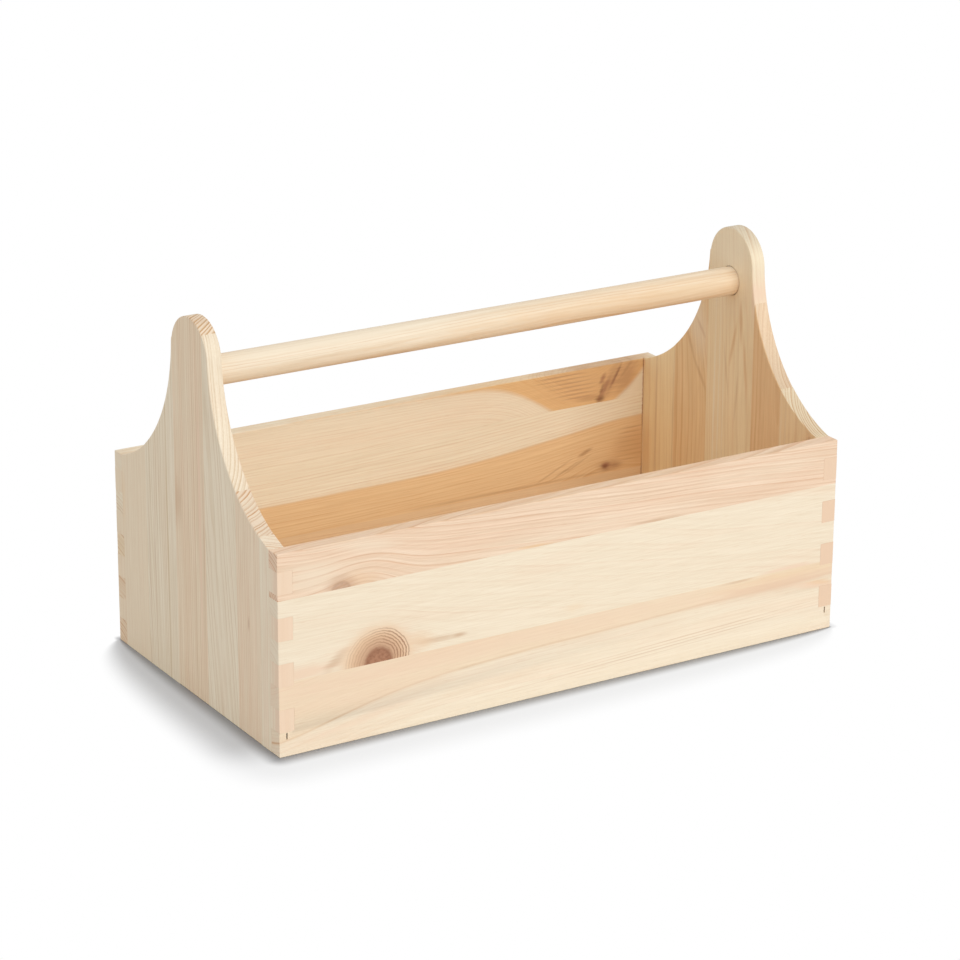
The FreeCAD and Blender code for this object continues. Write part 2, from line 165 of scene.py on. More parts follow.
class ToteStaples(bpy.types.PropertyGroup):
    """Sizes of the wire staples sunk into the corners."""
    wire: FloatProperty(
        name="Wire", description="Thickness of the square wire", unit="LENGTH", default=0.9 * MM, min=0)
    length: FloatProperty(
        name="Length", description="Length of the legs", unit="LENGTH", default=18 * MM, min=0)
    roughness: FloatProperty(
        name="Roughness", description="Roughness of the drawn wire", subtype="FACTOR", default=0.42,
        min=0, max=1)
    steel: FloatVectorProperty(
        name="Steel", description="Colour of the dull wire", subtype="COLOR", default=srgb(118, 110, 104))


class ToteStage(bpy.types.PropertyGroup):
    """Camera, floor and light."""
    azimuth: FloatProperty(
        name="Azimuth", description="Camera's way round the tote from its front", subtype="ANGLE",
        default=math.radians(-31.544))
    elevation: FloatProperty(
        name="Elevation", description="Camera's height above the horizon", subtype="ANGLE",
        default=math.radians(19.642))
    roll: FloatProperty(
        name="Roll", description="Camera's tilt about its own axis", subtype="ANGLE",
        default=math.radians(0.346))
    distance: FloatProperty(
        name="Distance", description="Camera to its target", unit="LENGTH", default=2.1489)
    target: FloatVectorProperty(
        name="Target", description="Point that the camera looks at", subtype="TRANSLATION",
        default=(0.0014, 0.0, 0.1034))
    lens: FloatProperty(
        name="Lens", description="Focal length in millimetres", default=128.37)
    floor: FloatVectorProperty(
        name="Floor", description="Colour of the plain floor", subtype="COLOR", default=(0.74, 0.74, 0.74))
    shadow: FloatVectorProperty(
        name="Shadow", description="Colour of the floor beside the tote, where it is looked at",
        subtype="COLOR", default=(0.325, 0.336, 0.358))
    contact_reach: FloatProperty(
        name="Contact reach", description="Width of the dark line of shadow round the tote's foot",
        unit="LENGTH", default=14 * MM, min=0)
    shadow_reach: FloatProperty(
        name="Shadow reach", description="Distance from the tote at which the floor is white",
        unit="LENGTH", default=52 * MM, min=0)
    sky: FloatProperty(
        name="Sky", description="Strength of the even light from all round", default=0.722, min=0)
    key: FloatProperty(
        name="Key light", description="Power of the large soft light in watts", default=35.6, min=0)


SETTINGS = {"tote_edges": ToteEdges, "tote_pine": TotePine, "tote_handle": ToteHandle,
            "tote_staples": ToteStaples, "tote_stage": ToteStage}


# ---------------- timber


@dataclass
class Mark:
    """Ellipse on a board's face that goes right through it; tilt is in degrees from the grain."""
    along: float
    across: float
    half_length: float
    half_height: float
    tilt = 0
    through = 0
    half_depth = 10000


@dataclass
class Swell(Mark):
    """Place where the growth rings bend away, as they do round a branch."""
    lift: float


@dataclass
class Streak(Mark):
    """Soft-edged stain that lies in the wood, at one depth only where that is given."""
    colour: str
    strength: float
    tilt: float = 0
    through: float = Mark.through
    half_depth: float = Mark.half_depth


@dataclass
class Knot(Mark):
    """Branch that crosses the board, with its rings, red-brown core and dark pith."""
    tilt: float = 0
    rings: float = 5
    core: float = 0.62
    core_shift: float = 0
    strength: float = 1


@dataclass
class Timber:
    """How one board was sawn from its log, in millimetres.

    pith is the log's middle, as (across the face, through the thickness) where the grain starts at 0,
    and lean is how far it moves for each millimetre along the board. Rings are counted from it, and
    the wood nearer to it than heart is heartwood.
    """
    pith: tuple
    lean: tuple = (0, 0)
    spacing: float = 3
    heart: float = 0
    heart_edge: float = 1.2
    heart_line: float = 0
    heart_tone: float = 1
    contrast: float = 0.4
    blush: float = 0
    tint: tuple = (1, 1, 1)
    line_tint: tuple = (1, 1, 1)
    end_shade: float = 1
    wander: float = 1.5
    edge_contrast: float = 0.3
    end_contrast: float = 1.4
    seed: float = 0
    marks: tuple = ()


# Heartwood radius, in millimetres, of a board that was sawn from heartwood only.
ALL_HEART = 400

# Long walls: along is X, across is Z and through is Y.
FRONT_WALL = {
    "front_stave_upper": Timber(
        pith=(62, -78), lean=(-0.075, 0), spacing=2.6, contrast=0.6, blush=0.88, seed=1, wander=1.2,
        marks=(
            Swell(-141, 96, 26, 32, -7), Streak(-178, 109, 24, 12, "sapwood", 0.5),
            Streak(-138, 121, 22, 5, "sapwood", 0.4, -6), Streak(-146, 101, 17, 7, "knot", 0.5),
            Knot(-158, 97.5, 8, 6.4, rings=0, core=0.85, strength=0.55),
            Streak(61, 99, 22, 1.3, "resin", 0.45, -1.5), Streak(-26, 99, 16, 1.3, "heartwood", 0.5, -1.5),
            Streak(0, 129.4, 300, 2.6, "heartwood", 1.0), Streak(0, 129.4, 300, 2.4, "resin", 0.25),
        )),
    "front_stave_middle": Timber(
        pith=(-16, -62), lean=(-0.15, 0), spacing=3.6, contrast=0.15, seed=2, wander=2.0,
        marks=(
            Swell(-137, 44, 34, 30, -14), Streak(-183, 50, 26, 6, "blush", 0.8),
            Streak(-134, 50, 36, 21, "blush", 0.6), Streak(-91, 53, 19, 2.4, "resin", 0.42, -2),
            Streak(-104, 54, 12, 6, "knot", 0.5, -10), Streak(-78, 52.6, 6, 1.7, "resin", 0.5),
            Streak(-162, 53.5, 11, 4.2, "resin", 0.4, 36), Streak(4, 53.7, 9, 3, "heartwood", 0.16),
            Streak(166, 47.2, 24, 2.6, "blush", 0.8),
            Knot(-134, 47, 21.2, 20.5, rings=11.5, core=0.47, core_shift=0.8),
        )),
    "front_stave_lower": Timber(
        pith=(95, -74), lean=(0.027, 0), spacing=2.6, contrast=0.12, blush=0.1, seed=3, wander=0.9,
        heart=69.8, heart_edge=1.6, heart_line=0.34, heart_tone=0.22,
        marks=(
            Swell(-214, 20, 75, 400, -17), Streak(-149, 12, 55, 3.2, "blush", 0.45, 9),
            Streak(-150, 32, 80, 14, "blush", 0.35), Streak(-60, 41, 260, 8, "blush", 0.5),
            Streak(166, 42.7, 62, 5, "heartwood", 0.22, 1), Streak(160, 38, 70, 5, "blush", 0.7, 1),
            Streak(160, 37, 62, 5, "resin", 0.16, 1), Streak(184, 31, 30, 4, "resin", 0.14),
            Streak(126, 46, 15, 1.1, "resin", 0.35), Streak(188, 32, 24, 3, "blush", 0.9, -6),
            Streak(191, 33, 13, 2, "heartwood", 0.35, -8), Streak(70, 13, 130, 0.5, "resin", 0.32, 2.2),
            Streak(90, 15.6, 120, 0.4, "resin", 0.26, 2.2), Streak(100, 18, 110, 0.5, "resin", 0.3, 2.2),
            Streak(60, 10.5, 100, 0.4, "resin", 0.2, 2.2),
        )),
}

# Painted shade: a dark line where the back wall's face meets the right end, standing in for the shadow in
# that corner.
CORNER_SHADE_LINE = Streak(
    END_INSIDE / MM, 64, 1, 400, "knot_core", 0.95, through=WALL_INSIDE / MM, half_depth=2)

BACK_WALL = {
    "back_stave_upper": Timber(
        pith=(165, 84), spacing=2.0, contrast=0.26, seed=4, heart=39.4, heart_edge=2.4,
        heart_line=0.14, heart_tone=0.95, tint=(1.03, 1.04, 1.03),
        marks=(
            CORNER_SHADE_LINE,
            *(Streak(125 + 2.4 * row, 124.5 - 2.8 * row, 26 - 1.6 * row, 0.75, "knot_core", 0.5)
              for row in range(7)),
            Streak(176, 117, 17, 8, "knot_core", 0.45, 60), Swell(143, 115, 45, 400, -35),
            Swell(205, 115, 22, 400, 9), Streak(55, 126.6, 40, 1.6, "heartwood", 0.4),
            Streak(0, 129.2, 300, 2.6, "heartwood", 1.0), Streak(165, 128.6, 42, 2.6, "heartwood", 0.6),
            Streak(150, 128.8, 60, 2.6, "knot_core", 0.65), Streak(185, 129, 16, 2.6, "resin", 0.6),
            Streak(143, 115, 50, 18, "resin", 0.2), Streak(163, 115, 19, 6.4, "knot_core", 0.4, 60),
            Streak(158, 110, 13, 2.4, "knot_core", 0.7, 60),
            Streak(167, 118, 12, 1.6, "knot_core", 0.7, 60), Streak(168, 119, 8, 0.9, "bark", 0.35, 60),
            Streak(155, 103.8, 4.4, 2.6, "bark", 0.6), Streak(157, 118, 5, 2.2, "knot_core", 0.8, 60),
            Streak(156, 110, 6, 1.4, "bark", 0.35, 70), Streak(147, 106, 12, 2.4, "resin", 0.5),
            Streak(176, 122, 12, 1.2, "resin", 0.5, 50),
        )),
    "back_stave_middle": Timber(
        pith=(18, 116), spacing=2.3, contrast=0.4, seed=5, heart=58.1, heart_edge=1.1,
        heart_line=0.3, heart_tone=0.78, tint=(1.03, 1.05, 1.04),
        marks=(
            CORNER_SHADE_LINE, Streak(181, 68, 17, 10, "knot_core", 0.18),
            *(Streak(180 + 2 * (row % 2), 57 + 3.2 * row, 12, 0.8, "knot_core", 0.5) for row in range(8)),
            Swell(240, 75, 150, 400, -15), Swell(158, 55, 26, 14, -6),
            Streak(188, 64, 30, 20, "heartwood", 0.6), Streak(188, 64, 30, 20, "resin", 0.14),
            Streak(144, 67.8, 7, 1.8, "resin", 0.8, 22), Streak(118, 58, 17, 0.9, "resin", 0.5, 24),
            Streak(128, 57.5, 15, 0.9, "resin", 0.55, 24), Streak(137, 60, 14, 0.9, "resin", 0.4, 26),
            Streak(164, 55.4, 12, 5, "resin", 0.6), Streak(168, 54.4, 6, 1.6, "knot_core", 0.5),
            Streak(160.4, 55.2, 4.4, 3.4, "knot_core", 1.0), Streak(159.8, 54.8, 2.8, 1.8, "bark", 0.5),
            Streak(90, 51.6, 90, 1.2, "resin", 0.5),
        )),
    "back_stave_lower": Timber(
        pith=(-14, 110), spacing=2.4, contrast=0.4, blush=0.1, seed=6, heart=200, heart_tone=0.65,
        marks=(CORNER_SHADE_LINE,)),
}

# Shaped ends: along is Z, across is Y and through is X.
LEFT_END = {
    "left_end_stave_1": Timber(
        pith=(-25, -165), spacing=2.4, contrast=0.3, blush=0.1, seed=11, wander=1, edge_contrast=0.6,
        end_contrast=2.4,
        marks=(Streak(60, -106, 200, 8, "blush", 0.8),)),
    "left_end_stave_2": Timber(
        pith=(10, -235), spacing=2.1, contrast=0.4, blush=0.35, seed=12, edge_contrast=1.5,
        end_contrast=2.6, end_shade=0.94, heart=ALL_HEART, heart_tone=0.08,
        marks=(Streak(72, -70.2, 5, 1.2, "knot_core", 0.35),)),
    "left_end_stave_3": Timber(
        pith=(-42, -222), lean=(0.12, 0), spacing=2.1, contrast=0.5, seed=13, wander=0.7,
        edge_contrast=0.3, line_tint=(0.94, 1.08, 1.14)),
    "left_end_stave_4": Timber(
        pith=(60, -235), spacing=2.1, contrast=0.55, blush=0.25, seed=14, wander=0.9, end_contrast=4,
        heart=ALL_HEART, heart_tone=0.14, line_tint=(0.96, 1.04, 1.08),
        marks=(
            Streak(121, 19.5, 18, 6, "resin", 0.3), Streak(120, -10, 95, 2.2, "blush", 0.9),
            Streak(100, -14, 80, 1, "resin", 0.3), Streak(243, -10, 5, 9, "resin", 0.3),
        )),
    "left_end_stave_5": Timber(
        pith=(90, -180), spacing=2.7, contrast=0.68, seed=15, wander=0.7,
        line_tint=(0.92, 1.08, 1.08),
        marks=(
            Swell(-10, 62, 75, 14, -9), Streak(60, 59.5, 70, 1, "resin", 0.25),
            Streak(70, 52, 90, 0.8, "resin", 0.25),
        )),
    "left_end_stave_6": Timber(
        pith=(160, -150), spacing=3, contrast=0.15, seed=16, heart=ALL_HEART, heart_tone=0.14,
        marks=(Streak(100, 95, 22, 3, "heartwood", 0.2),)),
}

RIGHT_END = {
    "right_end_stave_1": Timber(
        pith=(-90, 240), spacing=1.8, contrast=0.42, seed=21, heart=ALL_HEART, heart_tone=0.6,
        wander=1, edge_contrast=-0.6, end_contrast=2.8, end_shade=0.88, tint=(1, 1.03, 1),
        marks=(
            Streak(50, -59.6, 110, 1.1, "sapwood", 0.6), Streak(50, -64.5, 110, 0.8, "sapwood", 0.5),
            Streak(60, -106, 200, 8, "blush", 0.95), Streak(60, -106, 200, 5, "resin", 0.12),
            Streak(121, -90, 5, 3.4, "knot_core", 0.6),
        )),
    "right_end_stave_2": Timber(
        pith=(-60, 232), spacing=2.4, contrast=0.4, blush=0.45, seed=22, heart=ALL_HEART, heart_tone=0.76,
        wander=1.2, edge_contrast=0.2, end_contrast=0.6, end_shade=0.83, tint=(0.97, 0.98, 0.98)),
    "right_end_stave_3": Timber(
        pith=(-32, 236), lean=(0.04, 0), spacing=2.1, contrast=0.34, seed=23, wander=1,
        heart=ALL_HEART, heart_tone=0.42, edge_contrast=0.8, end_contrast=2.4, end_shade=0.84,
        tint=(1.02, 1.06, 1.01),
        marks=(
            Streak(120, 14.5, 75, 1.2, "sapwood", 0.7), Streak(120, 9.5, 75, 1, "sapwood", 0.6),
            Streak(110, 4.5, 60, 0.8, "sapwood", 0.5), Streak(228, 0, 50, 60, "sapwood", 0.5),
            Streak(208, -26, 28, 2.6, "blush", 0.85), Streak(180, -13, 16, 2.4, "heartwood", 0.4, 4),
            Streak(180, -13, 15, 2, "resin", 0.38, 4), Streak(164, -5, 19, 2.2, "heartwood", 0.4, -14),
            Streak(164, -5, 18, 1.8, "resin", 0.27, -14), Streak(152, -19, 27, 2, "heartwood", 0.4, 7),
            Streak(152, -19, 26, 1.6, "resin", 0.27, 7), Streak(146, 2, 20, 1.5, "resin", 0.26, 10),
            Streak(128, -10, 22, 1.5, "resin", 0.26, -6),
        )),
    "right_end_stave_4": Timber(
        pith=(62, 172), spacing=3.6, contrast=0.46, seed=24, heart=ALL_HEART, heart_tone=0.74,
        tint=(1.01, 1.04, 1.02),
        marks=(
            Swell(186, 18, 42, 26, 13), Streak(172, 36, 34, 14, "sapwood", 0.5, 20),
            Streak(154, 43.5, 15, 2, "resin", 0.38, 27), Streak(134, 31, 13, 2, "resin", 0.38, 38),
            Streak(166, 31, 10, 1.8, "resin", 0.3, 42),
        )),
    "right_end_stave_5": Timber(
        pith=(122, 205), lean=(0.03, 0), spacing=4.2, contrast=0.3, seed=25, wander=1.2,
        heart=ALL_HEART, heart_tone=0.42, tint=(1.07, 1.09, 0.98),
        marks=(
            Streak(62, 91, 30, 6, "heartwood", 0.4), Streak(90, 81, 70, 1.5, "resin", 0.35),
            Streak(90, 61, 70, 1.4, "resin", 0.35),
        )),
}

BOTTOM = Timber(pith=(12, -46), lean=(0.03, 0.02), spacing=5.5, contrast=0.35, blush=0.35, seed=31, wander=5)
HANDLE = Timber(
    pith=(236, 26), lean=(0.012, 0), spacing=2.4, contrast=0.5, blush=0.15, seed=41,
    marks=(
        Streak(130, 204, 190, 14, "heartwood", 0.45), Streak(-110, 200, 170, 8, "heartwood", 0.2),
        Streak(-110, 214, 110, 6, "sapwood", 0.7),
    ))

# Which frame axes run along the grain, across the face and through the board.
WALL_AXES = ("X", "Z", "Y")
END_AXES = ("Z", "Y", "X")
BOTTOM_AXES = ("X", "Y", "Z")


# ---------------- node helpers


class Wire:
    """Output of a node, on which sums are written as on paper."""

    def __init__(self, tree, socket):
        self.tree = tree
        self.socket = socket

    def reckon(self, operation, other):
        """Result of an operation on vectors or on numbers, whichever the wire carries."""
        work = self.tree.vector if self.socket.type == "VECTOR" else self.tree.math
        return work(operation, self, other)

    def __add__(self, other):
        return self.reckon("ADD", other)

    def __sub__(self, other):
        return self.reckon("SUBTRACT", other)

    def __rsub__(self, other):
        return self.tree.math("SUBTRACT", other, self)

    def __mul__(self, other):
        return self.reckon("MULTIPLY", other)

    def __truediv__(self, other):
        return self.reckon("DIVIDE", other)


class Tree:
    """Adds nodes to a shader or geometry tree and joins them."""

    def __init__(self, tree):
        self.tree = tree

    def feed(self, socket, value):
        """Joins a socket to a wire, or writes a plain value on it; a plain colour gets its fourth number."""
        value = getattr(value, "socket", value)
        if isinstance(value, bpy.types.NodeSocket):
            self.tree.links.new(value, socket)
        else:
            socket.default_value = (*value, 1.0)[:4] if socket.type == "RGBA" else value

    def fill(self, node, **values):
        """Sets properties, named in small letters, and feeds inputs, named in capitals with _ for a space."""
        for name, value in values.items():
            if name.islower():
                setattr(node, name, value)
            else:
                self.feed(node.inputs[name.replace("_", " ")], value)
        return node

    def add(self, kind, **values):
        """Adds a node and fills it."""
        return self.fill(self.tree.nodes.new(kind), **values)

    def wire(self, kind, *numbered, output=0, **values):
        """Adds a node, feeds its first inputs in order, and gives the wire from one of its outputs."""
        node = self.add(kind, **values)
        for socket, value in zip(node.inputs, numbered):
            self.feed(socket, value)
        return Wire(self, node.outputs[output])

    def math(self, operation, *numbers, clamp=False):
        """Math node on numbers or wires."""
        return self.wire("ShaderNodeMath", *numbers, operation=operation, use_clamp=clamp)

    def vector(self, operation, *vectors):
        """Vector Math node; its length comes out as a number."""
        output = "Value" if operation == "LENGTH" else "Vector"
        return self.wire("ShaderNodeVectorMath", *vectors, operation=operation, output=output)

    def combine(self, *numbers):
        """Vector from three numbers or wires."""
        return self.wire("ShaderNodeCombineXYZ", *numbers)

    def separate(self, vector):
        """Numbers of a vector by axis."""
        node = self.add("ShaderNodeSeparateXYZ", Vector=vector)
        return {socket.name: Wire(self, socket) for socket in node.outputs}

    def mix_number(self, factor, first, second):
        """Number between two others."""
        node = self.add("ShaderNodeMix", data_type="FLOAT")
        for index, value in ((0, factor), (2, first), (3, second)):
            self.feed(node.inputs[index], value)
        return Wire(self, node.outputs[0])

    def mix(self, factor, first, second, blend="MIX"):
        """Mix of two colours."""
        node = self.add("ShaderNodeMix", data_type="RGBA", blend_type=blend, clamp_factor=True)
        for index, value in ((0, factor), (6, first), (7, second)):
            self.feed(node.inputs[index], value)
        return Wire(self, node.outputs[2])

    def ramp(self, value, low, high, to_low=0.0, to_high=1.0):
        """Smooth step from low to high."""
        return self.wire("ShaderNodeMapRange", value, low, high, to_low, to_high,
                         interpolation_type="SMOOTHSTEP")

    def noise(self, point, scale=1.0, detail=2.0, roughness=0.5):
        """Noise from 0 to 1 about one half, on a point already in its own scale."""
        return self.wire("ShaderNodeTexNoise", output="Fac", noise_dimensions="3D",
                         Vector=point, Scale=scale, Detail=detail, Roughness=roughness)

    def dice(self, number):
        """Number from 0 to 1 that a whole number always throws."""
        return self.wire("ShaderNodeTexWhiteNoise", output="Value", noise_dimensions="1D", W=number)


FLOAT = "NodeSocketFloat"
COLOUR = "NodeSocketColor"
NOWHERE = (0.0, 0.0, 0.0)
WHITE = (1.0, 1.0, 1.0, 1.0)


def socket_kind(value):
    """Kind of socket for a value, where None stands for a material."""
    if isinstance(value, tuple):
        return "NodeSocketVector" if len(value) == len(NOWHERE) else COLOUR
    return {float: FLOAT, int: "NodeSocketInt", type(None): "NodeSocketMaterial"}[type(value)]


def new_group(name, inputs, outputs, kind="ShaderNodeTree"):
    """Node group with named inputs; gives the tree helper, the inputs' wires and the output node."""
    tree = Tree(bpy.data.node_groups.new(name, kind))
    for label, value in inputs.items():
        socket = tree.tree.interface.new_socket(label, in_out="INPUT", socket_type=socket_kind(value))
        if value is not None:
            socket.default_value = value
    for label, socket_type in outputs.items():
        tree.tree.interface.new_socket(label, in_out="OUTPUT", socket_type=socket_type)
    wires = {socket.name: Wire(tree, socket) for socket in tree.add("NodeGroupInput").outputs}
    return tree, wires, tree.add("NodeGroupOutput")


# ---------------- pine

# How finely a pattern changes, for each millimetre along, across and through the board.
SLOW_BEND = (0.007, 0.03, 0.03)
QUICK_BEND = (0.03, 0.14, 0.14)
CLOUD = (0.012, 0.07, 0.07)
FIBRE = (0.035, 1.5, 1.5)
DUCT = (0.1, 2.3, 2.3)
FRAY = (0.06, 0.7, 0.7)
PER_MM = (1 / MM, 1 / MM, 1 / MM)

PINE_IOR = 1.5
PINE_GLOSS = 0.35

# Inputs that every mark's group has, and those that the pine's group takes from the timber and its colours.
MARK_INPUTS = {"Point": NOWHERE, "Place": NOWHERE, "Half size": (1.0, 1.0, 1.0), "Tilt": 0.0}
SAWN = ("Wander", "Spacing", "Heart", "Heart edge", "Heart line", "Heart tone", "Contrast", "Seed")
SHADES = ("Sapwood", "Blush", "Heartwood")


def placed_ellipse(tree, inputs):
    """Offset from a mark's middle in half sizes, on an ellipse turned about the board's thickness."""
    turned = tree.wire("ShaderNodeVectorRotate", rotation_type="Z_AXIS",
                       Vector=inputs["Point"], Center=inputs["Place"], Angle=inputs["Tilt"])
    return (turned - inputs["Place"]) / inputs["Half size"]


def swell_group():
    """Bell-shaped lift of the growth rings."""
    tree, inputs, output = new_group(
        "Ring swell", {**MARK_INPUTS, "Lift": 0.0, "Before": 0.0}, {"Lift": FLOAT})
    reach = tree.vector("LENGTH", placed_ellipse(tree, inputs))
    bell = tree.math("EXPONENT", reach * reach * -1.0)
    tree.fill(output, Lift=bell * inputs["Lift"] + inputs["Before"])
    return tree.tree


def streak_group():
    """Stain with a soft edge that frays along the grain."""
    tree, inputs, output = new_group(
        "Streak", {**MARK_INPUTS, "Wood": WHITE, "Stain": WHITE, "Strength": 1.0}, {"Colour": COLOUR})
    reach = tree.vector("LENGTH", placed_ellipse(tree, inputs))
    fray = tree.noise(inputs["Point"] * FRAY, detail=3.0)
    edge = fray * 0.9 + (reach - 0.45)
    share = tree.ramp(edge, 1.25, 0.15) * inputs["Strength"]
    tree.fill(output, Colour=tree.mix(share, inputs["Wood"], inputs["Stain"]))
    return tree.tree


def knot_group():
    """Knot: wood that darkens towards a red-brown core, crossed by fine concentric rings."""
    tree, inputs, output = new_group(
        "Knot",
        {**MARK_INPUTS, "Wood": WHITE, "Ring wood": WHITE, "Core": WHITE, "Bark": WHITE, "Rings": 5.0,
         "Core size": 0.6, "Core shift": 0.0, "Strength": 1.0},
        {"Colour": COLOUR})
    core, bark = inputs["Core"], inputs["Bark"]
    offset = placed_ellipse(tree, inputs)
    wobble = tree.noise(inputs["Point"], scale=0.07, detail=1.0)
    fine = tree.noise(inputs["Point"], scale=0.5, detail=3.0)
    reach = (wobble - 0.5) * 0.16 + tree.vector("LENGTH", offset)
    reach = (fine - 0.5) * 0.06 + reach
    from_core = offset - tree.combine(inputs["Core shift"], 0.0, 0.0)
    share = ((fine - 0.5) * 0.14 + tree.vector("LENGTH", from_core)) / inputs["Core size"]
    # Wood round the core: a halo outside, then darker towards the middle.
    halo = tree.mix(tree.ramp(reach, 1.35, 0.75, 0.0, 0.9), inputs["Wood"], inputs["Ring wood"])
    near = tree.mix(tree.ramp(share, 2.2, 0.9, 0.0, 0.55), halo, core)
    # Rings, which crowd and darken on one side.
    count = reach * inputs["Rings"]
    ring = tree.math("FRACT", count)
    line = tree.ramp(ring, 0.35, 0.72) * tree.ramp(ring, 1.0, 0.82)
    line = line * (tree.dice(tree.math("FLOOR", count)) * 0.6 + 0.5)
    side = tree.ramp(tree.separate(offset)["X"], -0.6, 0.9, 0.24, 0.95)
    within = tree.ramp(reach, 1.08, 1.0) * tree.ramp(share, 0.85, 1.3)
    has_rings = tree.math("GREATER_THAN", inputs["Rings"], 0.5)
    ringed = tree.mix(line * side * (within * has_rings), near, tree.mix(0.35, core, bark))
    # Core: mottled, with a dark rim and a lighter, redder middle.
    middle = tree.mix(tree.ramp(fine, 0.35, 0.75, 0.0, 0.42), core, bark)
    middle = tree.mix(tree.ramp(share, 0.4, 0.9, 0.0, 0.22), middle, bark)
    knot = tree.mix(tree.ramp(share, 1.12, 0.78), ringed, middle)
    tree.fill(output, Colour=tree.mix(inputs["Strength"], inputs["Wood"], knot))
    return tree.tree


def pine_group():
    """Solid pine: growth rings about a pith, heartwood inside, fibres along the grain."""
    tree, inputs, output = new_group(
        "Solid pine",
        {"Point": NOWHERE, "End": 0.0, "Face": 1.0, "Boldness": 1.0, "Pith": NOWHERE, "Lean": NOWHERE,
         "Lift": 0.0, "Blush share": 0.0, "Latewood": WHITE, **dict.fromkeys(SAWN, 1.0),
         **dict.fromkeys(SHADES, WHITE)},
        {"Colour": COLOUR, "Height": FLOAT})
    point, seed, latewood = inputs["Point"], inputs["Seed"], inputs["Latewood"]
    shift = tree.combine(seed * 37.0, seed, seed)
    along = tree.separate(point)["X"]
    offset = (point - (inputs["Pith"] + inputs["Lean"] * along)) * (0, 1, 1)
    # The rings wander slowly down the log and wobble a little from one to the next.
    slow = tree.noise(point * SLOW_BEND + shift, detail=1.0)
    quick = tree.noise(point * QUICK_BEND + shift)
    bent = (slow - 0.5) * (inputs["Wander"] * 4.0) + (quick - 0.5) * (inputs["Wander"] * 0.6)
    radius = tree.vector("LENGTH", offset) + (bent + inputs["Lift"])
    count = radius / inputs["Spacing"]
    uneven = tree.wire("ShaderNodeTexNoise", output="Fac", noise_dimensions="1D",
                       W=count * 0.45 + seed * 9.0, Scale=1.0, Detail=1.0)
    count = uneven * 1.5 + count
    ring = tree.math("FRACT", count)
    year = tree.dice(tree.math("FLOOR", count) + seed)
    cloud = tree.noise(point * CLOUD + shift)
    late = tree.ramp(ring, 0.45, 0.9) * tree.ramp(ring, 1.0, 0.93)
    late = late * ((year * 0.65 + 0.35) * tree.ramp(cloud, 0.3, 0.7, 0.6, 1.0))
    # Colour: sapwood that blushes here and there, and heartwood inside its radius.
    blush = tree.math("ADD", (cloud - 0.5) * 0.9, inputs["Blush share"], clamp=True)
    blush = tree.math("ADD", (year - 0.5) * 0.16, blush, clamp=True)
    wood = tree.mix(blush, inputs["Sapwood"], inputs["Blush"])
    depth = radius - inputs["Heart"]
    in_heart = tree.ramp(depth / inputs["Heart edge"], 1.0, -1.0)
    tone = inputs["Heart tone"] * (inputs["Face"] * 0.6 + 0.4)
    wood = tree.mix(in_heart * tone, wood, inputs["Heartwood"])
    line = tree.math("EXPONENT", depth * depth * -2.2)
    late = tree.math("MAXIMUM", late * inputs["Contrast"], line * inputs["Heart line"])
    late = tree.math("MULTIPLY", late, inputs["Boldness"], clamp=True)
    wood = tree.mix(late, wood, tree.mix(1.0, wood, latewood, "MULTIPLY"))
    # Pinstripes follow the rings, and fibres and resin ducts run along the grain.
    stripe = tree.noise(tree.combine(along * 0.012 + seed, count * 2.8, 0.0))
    fibre = tree.noise(point * FIBRE + shift, detail=3.0, roughness=0.6)
    duct = tree.ramp(tree.noise(point * DUCT + shift, detail=1.0), 0.64, 0.76)
    striped = tree.ramp(stripe, 0.25, 0.75, -0.11, 0.08) * inputs["Contrast"] + 1.0
    grey = tree.ramp(fibre, 0.2, 0.8, 0.953, 1.032) * striped
    warmer = tree.combine(grey, tree.math("POWER", grey, 1.4), tree.math("POWER", grey, 1.9))
    wood = tree.mix(1.0, wood, warmer, "MULTIPLY")
    duct = duct * (inputs["End"] * -0.2 + 0.24)
    wood = tree.mix(duct, wood, tree.mix(1.0, wood, latewood, "MULTIPLY"))
    tree.fill(output, Colour=wood, Height=late * 0.6 + fibre * 0.5)
    return tree.tree


def group(name):
    """Node group by name, made the first time that it is asked for."""
    makers = {"Ring swell": swell_group, "Streak": streak_group, "Knot": knot_group, "Solid pine": pine_group}
    return bpy.data.node_groups.get(name) or makers[name]()


def tinted(colour, tint):
    """Colour times a tint."""
    return [part * share for part, share in zip(colour, tint)]


def new_material(name):
    """Material without nodes, and the helper for its tree."""
    material = bpy.data.materials.new(name)
    material.use_nodes = True
    material.node_tree.nodes.clear()
    return material, Tree(material.node_tree)


